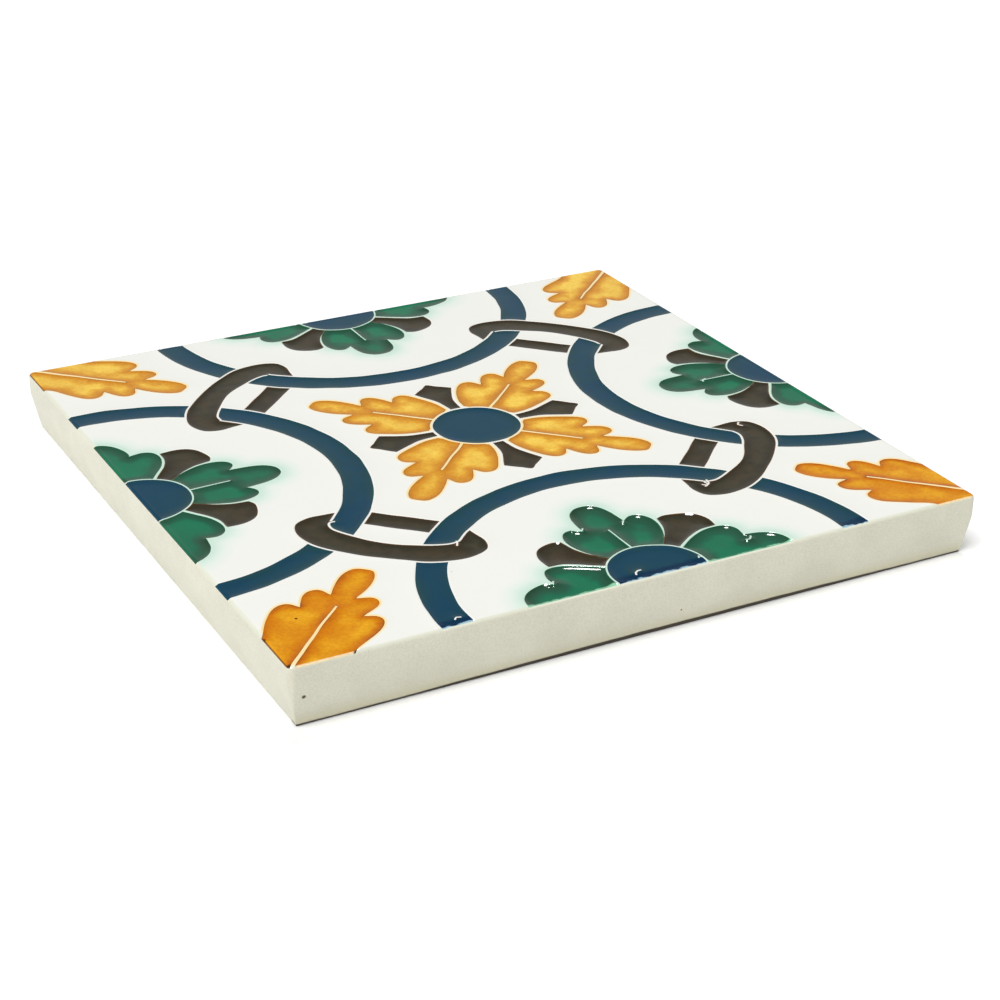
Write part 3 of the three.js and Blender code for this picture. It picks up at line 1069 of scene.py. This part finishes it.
def side_colour(tree, spot):
    """Creamy, with a fine grain and a few brown specks, yellower low down on the near side, and
    with grime and painted shade along that side's foot.
    """
    broad = add(
        tree, "ShaderNodeValToRGB", {0: blotch(tree, spot, 9)},
        [(0.3, "d7d5c1"), (0.7, "dfddca")],
    ).outputs[0]
    grain = add(
        tree, "ShaderNodeValToRGB", {0: blotch(tree, spot, 0.3, 1.0)},
        [(0.3, "f2f2f2"), (0.7, "ffffff")],
    ).outputs[0]
    body = blend(tree, 1.0, broad, grain, blend_type="MULTIPLY")
    place = add(tree, "ShaderNodeSeparateXYZ", {0: spot})
    height = place.outputs["Z"]
    near = eased(tree, from_near_side(tree, spot), 3, 4, 1.0, 0.0)
    yellow = calc(tree, "MULTIPLY", near, eased(tree, height, 0.6 * MM, 3.2 * MM, 1.0, 0.0))
    body = blend(tree, yellow, body, "d3cfb4")
    # Grime and painted shade lie along the foot of the near side: dark bare clay and dirt, darkened
    # as the shadow of the gap under the tile's slightly lifted middle, so the band is a little
    # higher towards that middle.
    along = calc(tree, "ABSOLUTE", calc(tree, "SUBTRACT", place.outputs["X"], 5 * MM))
    limit = eased(tree, along, 15 * MM, 60 * MM, 0.75 * MM, 0.3 * MM)
    limit = calc(tree, "MULTIPLY_ADD", blotch(tree, spot, 6), 0.3 * MM, limit)
    level = calc(tree, "SUBTRACT", height, limit)
    low = eased(tree, level, -0.1 * MM, 0.1 * MM, 1.0, 0.0)
    body = blend(tree, calc(tree, "MULTIPLY", near, low), body, "2e2200")
    return specked(tree, spot, body, SIDE_SPECKS, "4a2c12")


def clay_colour(tree, spot):
    """Buff brown in small patches."""
    return add(
        tree, "ShaderNodeValToRGB", {0: blotch(tree, spot, 2, 4.0)},
        [(0.3, "8a6a48"), (0.7, "a07d56")],
    ).outputs[0]


materials = [
    # Opaque white glass: bright all over, with small sharp glints on its ridges
    surface("tin_white_glaze_fired", white_ground, *FIRED_GLASS),
    # Even dark blue glass, with a painted deeper blue along the near side, where the rounded rim
    # mirrors less of the bright backdrop
    surface(
        "cobalt_glaze_pooled",
        pooled(
            COBALT_BODY, 3, 0.05, ("0f3c57", 8, 0.55),
            [(0.8, 2.2, "052c48"), (-0.55, -0.2, "93b8c8")],
        ),
        *FIRED_GLASS,
    ),
    # Nearly black brown, rusty where it thins out over a ridge
    surface(
        "manganese_brown_glaze_pooled",
        pooled(BROWN_BODY, 3, 0.1, ("40301f", 7, 0.3), [(-0.9, -0.7, "5a4630")]),
        *FIRED_GLASS,
    ),
    # Clear green glass: dark at its rim, bright over the deep middle of the pool
    surface("copper_green_glaze_pooled", green, *FIRED_GLASS),
    # Clear honey glass: burnt orange at its rim, yellow in the middle
    surface("iron_amber_glaze_pooled", amber, *FIRED_GLASS),
    # Wiped thin over the clay: satin, with soft broad highlights and a sandy grain
    surface("thin_satin_side_glaze", side_colour, 0.4, 0.8, 0.02),
    # No glaze: dull and open-grained
    surface("bare_fired_clay", clay_colour, 0.85, 0.5, 0.04),
]


# The tile


def store(mesh, name, kind, domain, values):
    mesh.attributes.new(name, kind, domain).data.foreach_set("value", values)


def flat_tile():
    """The tile before its relief is raised, with what the relief and the glazes read."""
    spots, faces, glazes, on_face = tile_mesh()
    mesh = bpy.data.meshes.new("glazed_tile")
    mesh.from_pydata([(x * MM, y * MM, z * MM) for x, y, z in spots], [], faces)
    around = [set() for _ in spots]
    sides = {}
    for face, (glaze, depth) in zip(faces, glazes):
        for i, a in enumerate(face):
            b = face[(i + 1) % len(face)]
            around[a].add(depth)
            sides.setdefault((min(a, b), max(a, b)), set()).add(glaze)
    pairs = np.empty(len(mesh.edges) * 2, dtype=np.int32)
    mesh.edges.foreach_get("vertices", pairs)
    beside = [sides[min(a, b), max(a, b)] for a, b in pairs.reshape(-1, 2)]
    outline = [len(pair) == 2 and max(pair) <= AMBER for pair in beside]
    store(mesh, "inside", "FLOAT", "POINT", [float(min(depths) > 0) for depths in around])
    store(mesh, "depth", "FLOAT", "POINT", [max(depths) for depths in around])
    store(mesh, "from_side", "FLOAT", "POINT", [edge_inset(x, y) for x, y, _ in spots])
    store(mesh, "on_face", "BOOLEAN", "POINT", on_face)
    store(mesh, "glaze", "INT", "FACE", [glaze for glaze, _ in glazes])
    store(mesh, "outline", "BOOLEAN", "EDGE", outline)
    for name, glaze in (("green_outline", GREEN), ("amber_outline", AMBER)):
        chosen = [drawn and glaze in pair for drawn, pair in zip(outline, beside)]
        store(mesh, name, "BOOLEAN", "EDGE", chosen)
    return mesh


tree = relief_tree(materials)
tile = bpy.data.objects.new("glazed_tile", flat_tile())
bpy.context.collection.objects.link(tile)
relief = tile.modifiers.new("relief", "NODES")
relief.node_group = tree
for item in tree.interface.items_tree:
    if item.name in RELIEF_SIZES:
        relief[item.identifier] = RELIEF_SIZES[item.name]
depsgraph = bpy.context.evaluated_depsgraph_get()
finished = bpy.data.meshes.new_from_object(tile.evaluated_get(depsgraph))
tile.modifiers.clear()
tile.data = finished
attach(tile, "root")
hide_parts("tile")


# Floor, light and camera

FLOOR_HALF = 3.0
floor_mesh = bpy.data.meshes.new("pale_floor")
floor_corners = ((-1, -1), (1, -1), (1, 1), (-1, 1))
floor_mesh.from_pydata(
    [(x * FLOOR_HALF, y * FLOOR_HALF, 0) for x, y in floor_corners], [], [(0, 1, 2, 3)]
)
floor = bpy.data.objects.new("pale_floor", floor_mesh)
bpy.context.collection.objects.link(floor)
floor_mesh.materials.append(
    surface("matt_white_paper", lambda tree, spot: linear("f9f9f9"), 0.9, 5, 0.0)
)

world = bpy.data.worlds.new("soft_studio")
bpy.context.scene.world = world
world.use_nodes = True
sky = world.node_tree
sky.nodes.clear()
up = add(sky, "ShaderNodeSeparateXYZ", {0: add(sky, "ShaderNodeTexCoord").outputs["Generated"]})
dome = add(
    sky,
    "ShaderNodeValToRGB",
    {0: up.outputs["Z"]},
    [(0.0, "b0b0b0"), (0.33, "949494"), (0.5, "505050"), (1.0, "505050")],
).outputs[0]
light = add(sky, "ShaderNodeBackground", {"Color": dome, "Strength": 1.0}).outputs[0]
add(sky, "ShaderNodeOutputWorld", {"Surface": light})


def far_soft_light(name, azimuth, elevation, width, strength):
    """A light so far off that the floor is lit evenly, by the direction that it shines from and how
    wide it looks, in degrees."""
    lamp = bpy.data.lights.new(name, "SUN")
    lamp.angle = math.radians(width)
    lamp.energy = strength
    light = bpy.data.objects.new(name, lamp)
    flat = math.cos(math.radians(elevation))
    source = Vector((
        flat * math.cos(math.radians(azimuth)),
        flat * math.sin(math.radians(azimuth)),
        math.sin(math.radians(elevation)),
    ))
    light.rotation_euler = (-source).to_track_quat("-Z", "Y").to_euler()
    light.location = source
    bpy.context.collection.objects.link(light)


far_soft_light("key_soft_box", 210, 62, 40, 3.0)
far_soft_light("back_strobe", 62, 68, 11, 0.95)

# The photograph's viewpoint, found from the edges of the tile in it
LENS = 80.05
CAMERA_PLACE = (-0.186066, -0.359728, 0.192890)
CAMERA_TURN = (64.167, -0.259, -27.957)
camera_data = bpy.data.cameras.new("camera")
camera_data.lens = LENS
camera_data.sensor_width = 36
camera_data.clip_start = 0.01
camera = bpy.data.objects.new("camera", camera_data)
camera.location = CAMERA_PLACE
camera.rotation_euler = Euler([math.radians(a) for a in CAMERA_TURN])
bpy.context.collection.objects.link(camera)
bpy.context.scene.camera = camera
bpy.context.scene.view_settings.view_transform = "Standard"
